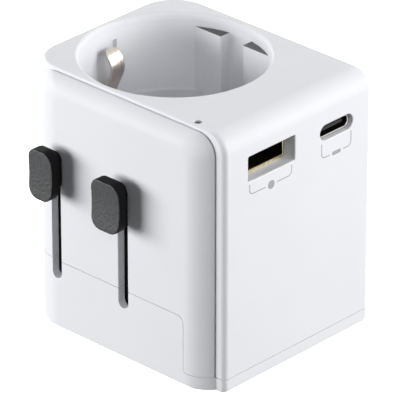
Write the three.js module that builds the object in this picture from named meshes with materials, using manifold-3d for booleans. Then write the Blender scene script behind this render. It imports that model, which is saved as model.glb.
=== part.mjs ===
// Universal travel adapter, in millimetres, +Z up.
// The origin lies on the base plane, on the axis of the round outlet in the top.
// -X is the face with two slide knobs, -Y the face with the two charging ports.
import * as THREE from "three";
import { mergeVertices } from "three/addons/utils/BufferGeometryUtils.js";
import Module from "manifold-3d";

// ---------------------------------------------------------------- driving dimensions
const HEIGHT = 57;
const X_FACE = -24; // face of the slide-side cover
const X_SPLIT = -20.9; // plane where the cover meets the casing
const X_REAR = 22;
const Y_PORTS = -33.4;
const Y_BACK = 21.7;
const WALL = 1.8;
const GAP = 0.3; // clearance between neighbouring pieces

const COVER_Y = [-32.6, 20]; // the cover is set in from the casing's edge
const COVER_TOP = HEIGHT - 0.5;
const COVER_CORNERS = [7.5, 10]; // port side, rear side
const LEDGES = [3.6, 5.4]; // flange that the cover's edge stands on, port side and rear side

const BASE_FLOOR = 2.3;
const BASE_SEAM = 2.9; // height of the seam round the base
const BASE_STEP = 15.5; // height of the seam on the slide side
const BASE_STEP_Y = -25; // where the seam steps up

const CUP_RADIUS = 19.5;
const CUP_WALL = 1;
const CUP_FLOOR = HEIGHT - 17.5;
const CUP_UNDER = CUP_FLOOR - 1.5;
const RIM_FILLET = 0.85;
const PIN_PITCH = 19; // between the two holes of the outlet
const PIN_HOLE = 2.8;

const KNOB = { height: 11.2, depth: 2.5, reach: 5.3, corner: 2.6 };
const THREE_PIN_KNOB = { slot: -8.4, y: -8.4, z: 36.2, width: 7.8 };
const ROUND_PIN_KNOB = { slot: 10.4, y: 9.8, z: 36.8, width: 6.6 };
const BLADE_KNOB = { slot: -10, y: -10, z: 37, width: 7.8 };
const STEM_Z = [34.8, 37.2];
const STEM_HALF = 1.05;
const STEM_END = [-21, 20.2]; // inner ends of the stems, -X side and +X side
const SLOT_HALF = 1.35;
const SLOT_BOTTOM = 11.3;
const SLOT_TOP = 38.9;
const SLOT_YS = [THREE_PIN_KNOB.slot, ROUND_PIN_KNOB.slot];
const REAR_SLOT_Y = BLADE_KNOB.slot;
const CARRIER_Z = [25.5, 29.7]; // plug-set carriers, at the top of their travel

const THREE_PIN = { y: -27.4, half: 11.1, earth: 22.2, tip: 5.1, earthTip: 0.4 };
const ROUND_PIN = { y: 11, half: 9.3, radius: 2, tip: 3.8 };
const BLADE = { x: 16.2, y: -10, half: 6.35, width: 6.3, thick: 1.5, tip: 5.3, turn: 30 };

const PORT_A = { x: -7.4, z: 47.6, width: 13.5, height: 5.5 };
const PORT_C = { x: 11.6, z: 47.6, width: 9.6, height: 3.4 };
const BOARD_Z = [43.2, 44.6];
const LENS = { x: -19.2, y: -24.5, radius: 0.55 };
const BOSSES = [
  [-17.9, -29.4],
  [18, -29.4],
  [16.9, 16.5],
  [-17, 16.3],
];

// ---------------------------------------------------------------- materials
const finish = (color, roughness, metalness = 0) => ({ color, roughness, metalness });
const WHITE = finish(0xe9eaec, 0.45);
const BLACK = finish(0x1b1c1e, 0.6);
const NICKEL = finish(0xb9b4ab, 0.3, 1);
const BRASS = finish(0xc9a860, 0.35, 1);
const STEEL = finish(0x8e9094, 0.35, 1);
const BOARD = finish(0x1f6b45, 0.5);
const COPPER = finish(0xb5673a, 0.4, 1);
const CLEAR = finish(0x55585c, 0.2);

// ---------------------------------------------------------------- solid tools
const wasm = await Module();
wasm.setup();

// A closed three.js geometry as a solid that can be joined and cut.
function solid(geometry) {
  const bare = geometry.clone();
  bare.deleteAttribute("normal");
  bare.deleteAttribute("uv");
  const merged = mergeVertices(bare, 1e-4);
  const vertProperties = new Float32Array(merged.attributes.position.array);
  const triVerts = new Uint32Array(merged.index.array);
  return new wasm.Manifold(new wasm.Mesh({ numProp: 3, vertProperties, triVerts }));
}

function geometryOf(body) {
  const mesh = body.getMesh();
  const geometry = new THREE.BufferGeometry();
  const position = new THREE.BufferAttribute(new Float32Array(mesh.vertProperties), 3);
  geometry.setAttribute("position", position);
  geometry.setIndex(new THREE.BufferAttribute(new Uint32Array(mesh.triVerts), 1));
  geometry.computeVertexNormals();
  return geometry;
}

const join = (bodies) => bodies.reduce((whole, body) => whole.add(body));
const cut = (body, tools) => tools.reduce((whole, tool) => whole.subtract(tool), body);
const common = (bodies) => bodies.reduce((whole, body) => whole.intersect(body));

function box([x0, x1], [y0, y1], [z0, z1]) {
  const geometry = new THREE.BoxGeometry(x1 - x0, y1 - y0, z1 - z0);
  return solid(geometry.translate((x0 + x1) / 2, (y0 + y1) / 2, (z0 + z1) / 2));
}

function upright(radius, [z0, z1], x = 0, y = 0, sides = 24) {
  const geometry = new THREE.CylinderGeometry(radius, radius, z1 - z0, sides);
  return solid(geometry.rotateX(Math.PI / 2).translate(x, y, (z0 + z1) / 2));
}

// A solid of revolution about a vertical line; points are [radius, z], axis to axis.
function turned(points, x = 0, y = 0, sides = 32) {
  const profile = points.map(([radius, z]) => new THREE.Vector2(radius, z));
  const geometry = new THREE.LatheGeometry(profile, sides);
  return solid(geometry.rotateX(Math.PI / 2).translate(x, y, 0));
}

// A rectangle with a radius at each corner, anticlockwise from the lowest corner.
function rounded([u0, u1], [v0, v1], radii) {
  const corners = [[u0, v0, 1, 1], [u1, v0, -1, 1], [u1, v1, -1, -1], [u0, v1, 1, -1]];
  const shape = new THREE.Shape();
  corners.forEach(([u, v, inwardU, inwardV], i) => {
    const radius = radii[i];
    const start = Math.PI * (1 + i / 2);
    if (radius > 0) {
      shape.absarc(u + inwardU * radius, v + inwardV * radius, radius, start, start + Math.PI / 2);
    } else if (i === 0) {
      shape.moveTo(u, v);
    } else {
      shape.lineTo(u, v);
    }
  });
  return shape;
}

function polygon(points) {
  return new THREE.Shape(points.map(([u, v]) => new THREE.Vector2(u, v)));
}

// A shape pushed along an axis: drawn in XY for "z", in YZ for "x" and in XZ for "y".
function prism(shape, axis, [from, to], curveSegments = 6) {
  const options = { depth: to - from, bevelEnabled: false, curveSegments };
  const geometry = new THREE.ExtrudeGeometry(shape, options);
  if (axis === "z") geometry.translate(0, 0, from);
  if (axis === "x") {
    const turn = new THREE.Matrix4().set(0, 0, 1, from, 1, 0, 0, 0, 0, 1, 0, 0, 0, 0, 0, 1);
    geometry.applyMatrix4(turn);
  }
  if (axis === "y") {
    const turn = new THREE.Matrix4().set(1, 0, 0, 0, 0, 0, -1, to, 0, 1, 0, 0, 0, 0, 0, 1);
    geometry.applyMatrix4(turn);
  }
  return solid(geometry);
}

// A strip of even thickness that follows points in the YZ plane, across the given X range.
function strip(points, thickness, across) {
  const path = points.map(([y, z]) => new THREE.Vector2(y, z));
  const side = (sign) =>
    path.map((point, i) => {
      const before = path[Math.max(i - 1, 0)];
      const after = path[Math.min(i + 1, path.length - 1)];
      const along = after.clone().sub(before).normalize();
      const offset = new THREE.Vector2(-along.y, along.x).multiplyScalar((sign * thickness) / 2);
      return offset.add(point);
    });
  const outline = side(-1).concat(side(1).reverse());
  return prism(new THREE.Shape(outline), "x", across);
}

const grow = ([low, high], by) => [low - by, high + by];
const around = (centre, half) => [centre - half, centre + half];

// ---------------------------------------------------------------- casing
// The casing's outer form, or its inner form when inset by the wall.
function casingForm(inset, zFrom) {
  const x = [X_SPLIT + inset, X_REAR - inset];
  const y = [Y_PORTS + inset, Y_BACK - inset];
  const z = [zFrom, HEIGHT - inset];
  const radius = (full) => Math.max(full - inset, 0.4);
  const plan = rounded(x, y, [radius(1.2), radius(1.2), radius(9), radius(8)]);
  const side = rounded(y, z, [0, 0, radius(2), radius(4.4)]);
  const front = rounded(x, z, [0, 0, radius(2), 0]);
  return common([
    prism(plan, "z", z),
    prism(side, "x", x),
    prism(front, "y", y),
  ]);
}

function slotCut(x, y) {
  const shape = rounded(around(y, SLOT_HALF), [SLOT_BOTTOM, SLOT_TOP], Array(4).fill(SLOT_HALF - 0.01));
  return prism(shape, "x", x, 4);
}

function outletCut() {
  const steps = 4;
  const fillet = Array.from({ length: steps + 1 }, (_, i) => {
    const angle = (i / steps) * (Math.PI / 2);
    const radius = CUP_RADIUS + RIM_FILLET * (1 - Math.cos(angle));
    return [radius, HEIGHT - RIM_FILLET * (1 - Math.sin(angle))];
  });
  const low = HEIGHT - WALL - 2;
  const high = HEIGHT + 1;
  const last = CUP_RADIUS + RIM_FILLET;
  return turned([[0, low], [CUP_RADIUS, low], ...fillet, [last, high], [0, high]], 0, 0, 64);
}

function portCut(port, corner, depth) {
  const x = around(port.x, port.width / 2);
  const z = around(port.z, port.height / 2);
  return prism(rounded(x, z, Array(4).fill(corner)), "y", [Y_PORTS - 1, Y_PORTS + depth], 4);
}

function mainCasing() {
  const outer = casingForm(0, BASE_SEAM + GAP / 2);
  const mouthY = [Y_PORTS + LEDGES[0], Y_BACK - LEDGES[1]];
  const mouth = box([X_SPLIT - 1, X_SPLIT + WALL + 1], mouthY, [0, HEIGHT - LEDGES[0]]);
  const hollow = casingForm(WALL, 0).add(mouth);
  const posts = BOSSES.map(([x, y]) => upright(2.5, [BASE_SEAM + 0.2, 30], x, y, 16));
  const bores = BOSSES.map(([x, y]) => upright(1.3, [0, 18], x, y, 12));
  const shell = outer.subtract(hollow).add(join(posts).intersect(outer));
  return cut(shell, [
    outletCut(),
    upright(CUP_RADIUS + CUP_WALL + GAP, [CUP_UNDER - 1, HEIGHT - WALL], 0, 0, 64),
    portCut(PORT_A, 0.5, WALL + 1),
    portCut(PORT_C, 1.65, WALL + 1),
    slotCut([X_REAR - WALL - 1, X_REAR + 1], REAR_SLOT_Y),
    upright(LENS.radius + GAP, [HEIGHT - WALL - 4, HEIGHT + 1], LENS.x, LENS.y, 16),
    ...bores,
  ]);
}

// ---------------------------------------------------------------- slide-side cover and base
function coverForm(inset, zFrom) {
  const reach = [X_FACE + inset, X_SPLIT + 12];
  const y = [COVER_Y[0] + inset, COVER_Y[1] - inset];
  const z = [zFrom, COVER_TOP - inset];
  const plan = rounded(reach, y, [COVER_CORNERS[0] - inset, 0, 0, COVER_CORNERS[1] - inset]);
  const side = rounded(y, z, [0, 0, 5 - inset, 5 - inset]);
  const front = rounded(reach, z, [0, 0, 0, 4 - inset]);
  return common([
    prism(plan, "z", z, 8),
    prism(side, "x", reach),
    prism(front, "y", y),
  ]);
}

// The region of the slide side that belongs to the base cover.
function baseRegion(clearance) {
  const y = [BASE_STEP_Y - clearance, COVER_Y[1] + 5];
  const raised = prism(rounded(y, [-2, BASE_STEP + clearance], [0, 0, 0, 1.6]), "x", [-30, X_SPLIT + 6]);
  return raised.add(box([-30, 30], [-40, 30], [-2, BASE_SEAM + clearance]));
}

function slideCover() {
  const shell = coverForm(0, 0).subtract(coverForm(WALL, -1));
  const slots = SLOT_YS.map((y) => slotCut([X_FACE - 1, X_SPLIT], y));
  return cut(shell, [casingForm(-GAP, -1), baseRegion(GAP / 2), ...slots]);
}

function screwCut([x, y]) {
  return upright(1.35, [-1, 4], x, y, 12).add(upright(2.4, [-1, 1.2], x, y, 16));
}

function bladeHoles() {
  const turns = [0, 10, 20, 30];
  return [-1, 1].flatMap((side) =>
    turns.map((turn) => {
      const half = BLADE.width / 2 + GAP;
      const plate = new THREE.BoxGeometry(2 * half, BLADE.thick + 2 * GAP, 10);
      const angle = THREE.MathUtils.degToRad(side * turn);
      return solid(plate.rotateZ(angle).translate(BLADE.x, BLADE.y + side * BLADE.half, 0));
    }),
  );
}

function baseCover() {
  const seam = BASE_SEAM - GAP / 2;
  const tray = casingForm(0, 0).intersect(box([-30, 30], [-40, 30], [-2, seam]));
  const step = cut(coverForm(0, 0).intersect(baseRegion(-GAP / 2)), [casingForm(-GAP, seam)]);
  const solidForm = tray.add(step);
  const pocketPlan = rounded([X_FACE + WALL, X_REAR - WALL], grow([Y_PORTS, Y_BACK], -WALL), [6, 1, 7, 9.9]);
  const pocket = prism(pocketPlan, "z", [BASE_FLOOR, HEIGHT]);
  const livePins = [-1, 1].map((side) =>
    box(
      around(side * THREE_PIN.half, 3.2 + GAP),
      around(THREE_PIN.y, 2 + GAP),
      [-1, 4],
    ),
  );
  const earthPin = box(around(0, 2 + GAP), around(THREE_PIN.y + THREE_PIN.earth, 4 + GAP), [-1, 4]);
  const roundPins = [-1, 1].map((side) =>
    upright(ROUND_PIN.radius + GAP, [-1, 4], side * ROUND_PIN.half, ROUND_PIN.y, 16),
  );
  return cut(solidForm, [
    pocket,
    ...livePins,
    earthPin,
    ...roundPins,
    ...bladeHoles(),
    ...BOSSES.map(screwCut),
    ...SLOT_YS.map((y) => slotCut([X_FACE - 1, X_FACE + WALL + 1], y)),
  ]);
}

function screw([x, y]) {
  const shape = turned([[0, 0.3], [2, 0.3], [2, 0.9], [1, 0.9], [1, 13], [0, 13.8]], x, y, 12);
  const slots = [
    box(around(x, 1.3), around(y, 0.25), [0, 0.7]),
    box(around(x, 0.25), around(y, 1.3), [0, 0.7]),
  ];
  return cut(shape, slots);
}

// ---------------------------------------------------------------- outlet
function outletCup() {
  const outer = CUP_RADIUS + CUP_WALL;
  const top = HEIGHT - WALL - GAP;
  const shell = upright(outer, [CUP_UNDER, top], 0, 0, 64)
    .subtract(upright(CUP_RADIUS, [CUP_FLOOR, top + 1], 0, 0, 64));
  const inside = upright(CUP_RADIUS + 0.5, [CUP_FLOOR - 0.5, HEIGHT - 3], 0, 0, 64);
  const ribs = [-1, 1].flatMap((side) =>
    [-1, 1].map((end) => {
      const x = side > 0 ? [16.6, 21] : [-21, -16.6];
      const y = end > 0 ? [3.05, 10.7] : [-10.7, -3.05];
      return box(x, y, [CUP_FLOOR - 0.5, HEIGHT - 3]).intersect(inside);
    }),
  );
  const pockets = [-1, 1].map((side) =>
    box(around(0, 2.9), side > 0 ? [17.2, 22] : [-22, -17.2], [CUP_FLOOR, HEIGHT - 4]),
  );
  const tabSlots = [-1, 1].map((side) =>
    box(around(0, 2.5), around(side * 18.7, 0.8), [CUP_UNDER - 1, CUP_FLOOR + 1]),
  );
  const pinHoles = [-1, 1].map((side) =>
    upright(PIN_HOLE, [CUP_UNDER - 1, CUP_FLOOR + 1], (side * PIN_PITCH) / 2, 0, 20),
  );
  return cut(join([shell, ...ribs]), [...pockets, ...tabSlots, ...pinHoles]);
}

// A springy contact that bulges into the outlet, then runs down through its floor.
function earthClip(side) {
  const points = [
    [18.2, 51.6], [17.4, 51], [16.6, 49.8], [16.2, 48.4], [16.4, 47], [17, 45.6],
    [17.9, 43.8], [18.5, 42.2], [18.7, 40.8], [18.7, 36.5],
  ];
  const path = points.map(([y, z]) => [side * y, z]);
  return strip(side > 0 ? path : path.reverse(), 0.6, around(0, 1.9));
}

function earthStrap() {
  return box(around(0, 2.2), around(0, 19.4), [35.5, 36.1]);
}

function contactBlock() {
  const body = box([-13.5, 13.5], [-6.6, 14], [31, 35.2]).add(box([-4, 4], [14, 15.6], [31, 37.7]));
  const seats = [-1, 1].map((side) => upright(3.2 + GAP, [30, 36], (side * PIN_PITCH) / 2, 0, 20));
  const stripSeats = [-1, 1].map((side) => box(around(side * 9.5, 2.8 + GAP), [3.9, 5.2], [30, 36]));
  const strapNotch = box([-2.5, 2.5], [13, 17], [35.2, 36.4]);
  return cut(body, [...seats, ...stripSeats, strapNotch]);
}

function contactSleeve(side) {
  const x = (side * PIN_PITCH) / 2;
  const tube = upright(3.2, [20.5, 35.1], x, 0, 20).subtract(upright(2.45, [20, 36], x, 0, 20));
  return tube.subtract(box(around(x, 0.35), [-4, 0], [22.5, 31]));
}

function contactStrip(side) {
  const points = [[4.55, 35], [4.55, 13], [5.2, 10.5], [6.6, 8.5], [6.9, 6.8], [6.3, 5.2]];
  return strip(points, 0.6, around(side * 9.5, 2.8));
}

// The shutter's holes stand beside the outlet's pin holes until it slides.
const SHUTTER_TRAVEL = 6;
const SHUTTER_Z = [36.4, 37.7];

function shutterPlate() {
  const plate = prism(rounded([-13.4, 13.4], [-10, 4], Array(4).fill(1.5)), "z", SHUTTER_Z, 3);
  const holes = [-1, 1].map((side) =>
    upright(PIN_HOLE, [36, 38], (side * PIN_PITCH) / 2, -SHUTTER_TRAVEL, 20),
  );
  return cut(plate, holes);
}

// A coil between the shutter's edge and the wall of the contact block.
function shutterSpring() {
  class Coil extends THREE.Curve {
    getPoint(t, target = new THREE.Vector3()) {
      const angle = t * 5 * 2 * Math.PI;
      return target.set(0.45 * Math.cos(angle), 4.5 + t * 9, 37.05 + 0.45 * Math.sin(angle));
    }
  }
  const section = new THREE.Shape();
  section.absarc(0, 0, 0.15, 0, 2 * Math.PI);
  const options = { steps: 50, curveSegments: 3, extrudePath: new Coil(), bevelEnabled: false };
  return solid(new THREE.ExtrudeGeometry(section, options));
}

// ---------------------------------------------------------------- slide knobs and plug sets
function guidePlate() {
  const x = [-21.6, -21.0];
  const plate = prism(rounded([-16, 12.7], [9, 45], Array(4).fill(0.9)), "x", x, 3);
  const slots = SLOT_YS.map((y) => slotCut([-23, -20], y));
  return cut(plate, slots);
}

// The knob's cap is dished across its front, and its stem runs in through the slot.
function knob({ slot, y, z, width }, outward, face, stemEnd) {
  const front = face + outward * KNOB.reach;
  const cap = front - outward * KNOB.depth;
  const low = Math.min(front, cap);
  const high = Math.max(front, cap);
  const shape = rounded(around(y, width / 2), around(z, KNOB.height / 2), Array(4).fill(KNOB.corner));
  const dish = new THREE.CylinderGeometry(26, 26, 30, 96).rotateX(Math.PI / 2).rotateX(Math.PI / 2);
  dish.translate(front + outward * 25.5, y, z);
  const stemX = [Math.min(stemEnd, cap), Math.max(stemEnd, cap)];
  const stem = box(grow(stemX, 0.05), around(slot, STEM_HALF), STEM_Z);
  return prism(shape, "x", [low, high], 4).subtract(solid(dish)).add(stem);
}

function carrierArm(x, y, joinX) {
  const post = box(x, around(y, 2.5), [CARRIER_Z[0], STEM_Z[1]]);
  return post.add(box(joinX, around(y, 2.5), CARRIER_Z));
}

function pinPocket(x, y, halfX, halfY) {
  return box(around(x, halfX + GAP), around(y, halfY + GAP), [CARRIER_Z[0] - 1, CARRIER_Z[1] - 1.2]);
}

const PIN_TOP = CARRIER_Z[1] - 1.5;

function threePinCarrier() {
  const bar = box([-14.9, 14.9], around(THREE_PIN.y, 3), CARRIER_Z);
  const earthY = THREE_PIN.y + THREE_PIN.earth;
  const spine = box(around(0, 3.2), [THREE_PIN.y, earthY + 4.7], CARRIER_Z);
  const arm = carrierArm([-20.6, -18], SLOT_YS[0], [-20.6, 0]);
  return cut(join([bar, spine, arm]), [
    pinPocket(-THREE_PIN.half, THREE_PIN.y, 3.2, 2),
    pinPocket(THREE_PIN.half, THREE_PIN.y, 3.2, 2),
    pinPocket(0, earthY, 2, 4),
  ]);
}

function flatPin(x, y, halfX, halfY, tip) {
  const shank = box(around(x, halfX), around(y, halfY), [tip + 0.95, PIN_TOP]);
  const nose = new THREE.CylinderGeometry(Math.SQRT1_2, Math.SQRT1_2 * 0.7, 1, 4);
  nose.rotateY(Math.PI / 4).rotateX(Math.PI / 2);
  nose.scale(2 * halfX, 2 * halfY, 1).translate(x, y, tip + 0.5);
  return shank.add(solid(nose));
}

function roundPinCarrier() {
  const bar = box([-12, 12], around(ROUND_PIN.y, 3), CARRIER_Z);
  const arm = carrierArm([-20.6, -18], SLOT_YS[1], [-20.6, 0]);
  const pockets = [-1, 1].map((side) =>
    upright(ROUND_PIN.radius + GAP, [20, CARRIER_Z[1] - 1.2], side * ROUND_PIN.half, ROUND_PIN.y, 16),
  );
  return cut(bar.add(arm), pockets);
}

function roundPin(side) {
  const { radius, tip } = ROUND_PIN;
  const nose = [[0, tip], [1.1, tip + 0.15], [1.8, tip + 0.8], [radius, tip + 1.8]];
  const profile = [...nose, [radius, PIN_TOP], [0, PIN_TOP]];
  return turned(profile, side * ROUND_PIN.half, ROUND_PIN.y, 16);
}

function bladeCarrier() {
  const body = box([13.1, 19.6], [-20.2, 0.2], CARRIER_Z);
  const arm = carrierArm([17.8, 19.8], REAR_SLOT_Y, [16, 19.8]);
  const seats = [-1, 1].map((side) =>
    upright(2.7 + GAP, [20, CARRIER_Z[1] - 1.2], BLADE.x, BLADE.y + side * BLADE.half, 20),
  );
  return cut(body.add(arm), seats);
}

function blade(side) {
  const y = BLADE.y + side * BLADE.half;
  const outline = [
    [-BLADE.width / 2, BLADE.tip + 1.2], [-BLADE.width / 2 + 1.2, BLADE.tip],
    [BLADE.width / 2 - 1.2, BLADE.tip], [BLADE.width / 2, BLADE.tip + 1.2],
    [BLADE.width / 2, CARRIER_Z[0] - GAP], [-BLADE.width / 2, CARRIER_Z[0] - GAP],
  ].map(([u, z]) => [BLADE.x + u, z]);
  const plate = prism(polygon(outline), "y", around(y, BLADE.thick / 2));
  const neckZ = grow([CARRIER_Z[0] - GAP, CARRIER_Z[0]], 0.2);
  const neck = box(around(BLADE.x, 2.4), around(y, BLADE.thick / 2), neckZ);
  return join([plate, neck, upright(2.7, [CARRIER_Z[0], PIN_TOP], BLADE.x, y, 24)]);
}

// ---------------------------------------------------------------- charger and fuse
function chargerBoard() {
  return box([-18.6, 18.6], [-31.2, -21.2], BOARD_Z);
}

function portShell(port, corner, depth, wall, legs) {
  const x = around(port.x, port.width / 2 - GAP);
  const z = around(port.z, port.height / 2 - GAP);
  const y = [Y_PORTS + 0.6, Y_PORTS + depth];
  const outer = prism(rounded(x, z, Array(4).fill(corner)), "y", y, 4);
  const inner = prism(
    rounded(grow(x, -wall), grow(z, -wall), Array(4).fill(Math.max(corner - wall, 0.1))),
    "y",
    [y[0] - 1, y[1] - 0.8],
    4,
  );
  const feet = legs.map((legY) => box(grow(x, -0.8), around(legY, 0.6), [BOARD_Z[1] + GAP, z[0] + 0.1]));
  return join([outer.subtract(inner), ...feet]);
}

const TONGUE_DEPTH = 9.5;

function typeATongue() {
  const y = [Y_PORTS + 1.8, Y_PORTS + TONGUE_DEPTH];
  return box(around(PORT_A.x, 5.3), y, [PORT_A.z + 0.15, PORT_A.z + 1.8]);
}

function typeCTongue() {
  const y = [Y_PORTS + 1.6, Y_PORTS + 7];
  return prism(rounded(around(PORT_C.x, 3.3), around(PORT_C.z, 0.35), Array(4).fill(0.2)), "y", y, 2);
}

function transformer() {
  const core = box([1.5, 13.5], [-30.8, -27.4], [31.7, 42.3])
    .add(box([1.5, 13.5], [-25.4, -22], [31.7, 42.3]))
    .add(box([1.5, 13.5], [-30.8, -22], [34, 40]));
  return core.add(box([3, 12], [-29, -23.8], [32.4, 41.6]));
}

function capacitor(x, radius, length) {
  const top = BOARD_Z[0] - GAP;
  const bottom = top - length;
  const profile = [
    [0, bottom], [radius - 0.4, bottom], [radius, bottom + 0.4],
    [radius, top - 1.6], [radius - 0.3, top - 1.2], [radius, top - 0.8], [radius, top], [0, top],
  ];
  return turned(profile, x, -26.6, 20);
}

function indicatorLens() {
  const { x, y, radius } = LENS;
  const foot = [[0, 45], [radius + 0.6, 45], [radius + 0.6, 46], [radius, 46]];
  const profile = [...foot, [radius, HEIGHT - 0.3], [0, HEIGHT - 0.1]];
  return turned(profile, x, y, 12);
}

const FUSE = { y: 17, z: 20, half: 10, radius: 2.5 };

function fuse() {
  const { y, z, half, radius } = FUSE;
  const barrel = new THREE.CylinderGeometry(radius - 0.2, radius - 0.2, 2 * half - 8, 20);
  const caps = [-1, 1].map((side) => {
    const cap = new THREE.CylinderGeometry(radius, radius, 5, 20);
    return solid(cap.rotateZ(Math.PI / 2).translate(side * (half - 2.5), y, z));
  });
  return join([solid(barrel.rotateZ(Math.PI / 2).translate(0, y, z)), ...caps]);
}

function fuseClip(side) {
  const { y, z, half, radius } = FUSE;
  const across = around(side * (half - 2.5), 1.6);
  const shape = rounded(around(y, radius + 0.35), [z - radius - 0.8, z + 1.2], [1.2, 1.2, 0, 0]);
  const seat = new THREE.CylinderGeometry(radius + 0.1, radius + 0.1, 8, 20);
  seat.rotateZ(Math.PI / 2).translate(side * (half - 2.5), y, z);
  const mouth = box(grow(across, 1), around(y, radius - 0.2), [z, z + 4]);
  const leg = box(grow(across, -0.6), around(y, 0.5), [BASE_FLOOR + GAP, z - radius - 0.5]);
  return cut(prism(shape, "x", across, 3), [solid(seat), mouth]).add(leg);
}

// ---------------------------------------------------------------- assembly
const adapter = new THREE.Group();

function place(group, name, body, look) {
  const mesh = new THREE.Mesh(geometryOf(body), new THREE.MeshStandardMaterial(look));
  mesh.name = name;
  group.add(mesh);
}

function subAssembly() {
  const group = new THREE.Group();
  adapter.add(group);
  return group;
}

const casing = subAssembly();
place(casing, "main_casing", mainCasing(), WHITE);
place(casing, "slide_cover", slideCover(), WHITE);
place(casing, "base_cover", baseCover(), WHITE);
place(casing, "slot_guide_plate", guidePlate(), BLACK);
BOSSES.forEach((at, i) => place(casing, `base_screw_${i + 1}`, screw(at), STEEL));

const outlet = subAssembly();
place(outlet, "outlet_cup", outletCup(), WHITE);
place(outlet, "earth_clip_rear", earthClip(1), NICKEL);
place(outlet, "earth_clip_front", earthClip(-1), NICKEL);
place(outlet, "earth_strap", earthStrap(), COPPER);
place(outlet, "contact_block", contactBlock(), BLACK);
place(outlet, "line_sleeve", contactSleeve(1), BRASS);
place(outlet, "neutral_sleeve", contactSleeve(-1), BRASS);
place(outlet, "line_strip", contactStrip(1), BRASS);
place(outlet, "neutral_strip", contactStrip(-1), BRASS);
place(outlet, "shutter_plate", shutterPlate(), WHITE);
place(outlet, "shutter_spring", shutterSpring(), STEEL);

const threePinSet = subAssembly();
place(threePinSet, "three_pin_knob", knob(THREE_PIN_KNOB, -1, X_FACE, STEM_END[0]), BLACK);
place(threePinSet, "three_pin_carrier", threePinCarrier(), BLACK);
place(threePinSet, "three_pin_line", flatPin(THREE_PIN.half, THREE_PIN.y, 3.2, 2, THREE_PIN.tip), BRASS);
place(threePinSet, "three_pin_neutral", flatPin(-THREE_PIN.half, THREE_PIN.y, 3.2, 2, THREE_PIN.tip), BRASS);
const earthPinY = THREE_PIN.y + THREE_PIN.earth;
place(threePinSet, "three_pin_earth", flatPin(0, earthPinY, 2, 4, THREE_PIN.earthTip), BRASS);

const roundPinSet = subAssembly();
place(roundPinSet, "round_pin_knob", knob(ROUND_PIN_KNOB, -1, X_FACE, STEM_END[0]), BLACK);
place(roundPinSet, "round_pin_carrier", roundPinCarrier(), BLACK);
place(roundPinSet, "round_pin_line", roundPin(1), NICKEL);
place(roundPinSet, "round_pin_neutral", roundPin(-1), NICKEL);

const bladeSet = subAssembly();
place(bladeSet, "blade_knob", knob(BLADE_KNOB, 1, X_REAR, STEM_END[1]), BLACK);
place(bladeSet, "blade_carrier", bladeCarrier(), BLACK);
place(bladeSet, "blade_line", blade(1), NICKEL);
place(bladeSet, "blade_neutral", blade(-1), NICKEL);

const charger = subAssembly();
place(charger, "charger_board", chargerBoard(), BOARD);
place(charger, "type_a_shell", portShell(PORT_A, 0.5, 12.6, 0.3, [-30, -23]), STEEL);
place(charger, "type_a_tongue", typeATongue(), BLACK);
place(charger, "type_c_shell", portShell(PORT_C, 1.35, 8.6, 0.3, [-31, -27]), STEEL);
place(charger, "type_c_tongue", typeCTongue(), BLACK);
place(charger, "transformer", transformer(), COPPER);
place(charger, "bulk_capacitor", capacitor(-13, 4, 10), BLACK);
place(charger, "output_capacitor", capacitor(-4.5, 3.15, 8), BLACK);
place(charger, "indicator_lens", indicatorLens(), CLEAR);
place(charger, "cartridge_fuse", fuse(), CLEAR);
place(charger, "fuse_clip_line", fuseClip(1), NICKEL);
place(charger, "fuse_clip_load", fuseClip(-1), NICKEL);

export default adapter;
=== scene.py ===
import math

import bmesh
import bpy
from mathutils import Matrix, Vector


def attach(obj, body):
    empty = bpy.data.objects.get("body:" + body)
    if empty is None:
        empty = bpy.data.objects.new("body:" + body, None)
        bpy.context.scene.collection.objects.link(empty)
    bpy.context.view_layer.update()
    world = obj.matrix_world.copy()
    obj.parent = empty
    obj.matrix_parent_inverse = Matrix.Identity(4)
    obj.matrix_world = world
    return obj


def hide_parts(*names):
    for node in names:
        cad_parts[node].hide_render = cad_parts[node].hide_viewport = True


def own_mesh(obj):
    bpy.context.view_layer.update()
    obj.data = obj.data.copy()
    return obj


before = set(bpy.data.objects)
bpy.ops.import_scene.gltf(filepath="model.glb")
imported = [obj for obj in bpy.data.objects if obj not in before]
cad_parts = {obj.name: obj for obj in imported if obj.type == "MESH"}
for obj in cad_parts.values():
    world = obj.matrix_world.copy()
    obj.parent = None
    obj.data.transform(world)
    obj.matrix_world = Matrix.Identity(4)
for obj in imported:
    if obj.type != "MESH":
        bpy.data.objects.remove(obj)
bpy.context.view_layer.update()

bl_info = {
    "name": "Travel adapter looks",
    "version": (1, 0, 0),
    "blender": (4, 5, 0),
    "location": "View3D > Sidebar > Adapter",
    "description": "Makes the finished pieces of the travel adapter around its frame",
    "category": "Object",
}

# ---------------------------------------------------------------- sizes, in millimetres
MM = 0.001
TOP = 57.0
FACE = -24.0  # outer face of the slide cover
SPLIT = -20.9  # where the cover meets the casing
REAR = 22.0
PORT_SIDE = -33.4
BACK = 21.7
FRONT_ROUND = 4.4
TOP_ROUND = 2.0
CORNERS = (1.2, 1.2, 9.0, 8.0)  # casing corners, anticlockwise from the low one

COVER_Y = (-32.6, 20.0)
COVER_TOP = 56.5
COVER_SIDE_ROUNDS = (7.5, 10.0)  # port side, rear side
COVER_TOP_ROUND = 4.0
COVER_CORNER = 5.0
LEDGES = (3.6, 5.4)  # port side, rear side

SEAM_Z = 2.9
STEP_Z = 15.5
STEP_Y = -25.0
BASE_FLOOR = 2.3

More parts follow.
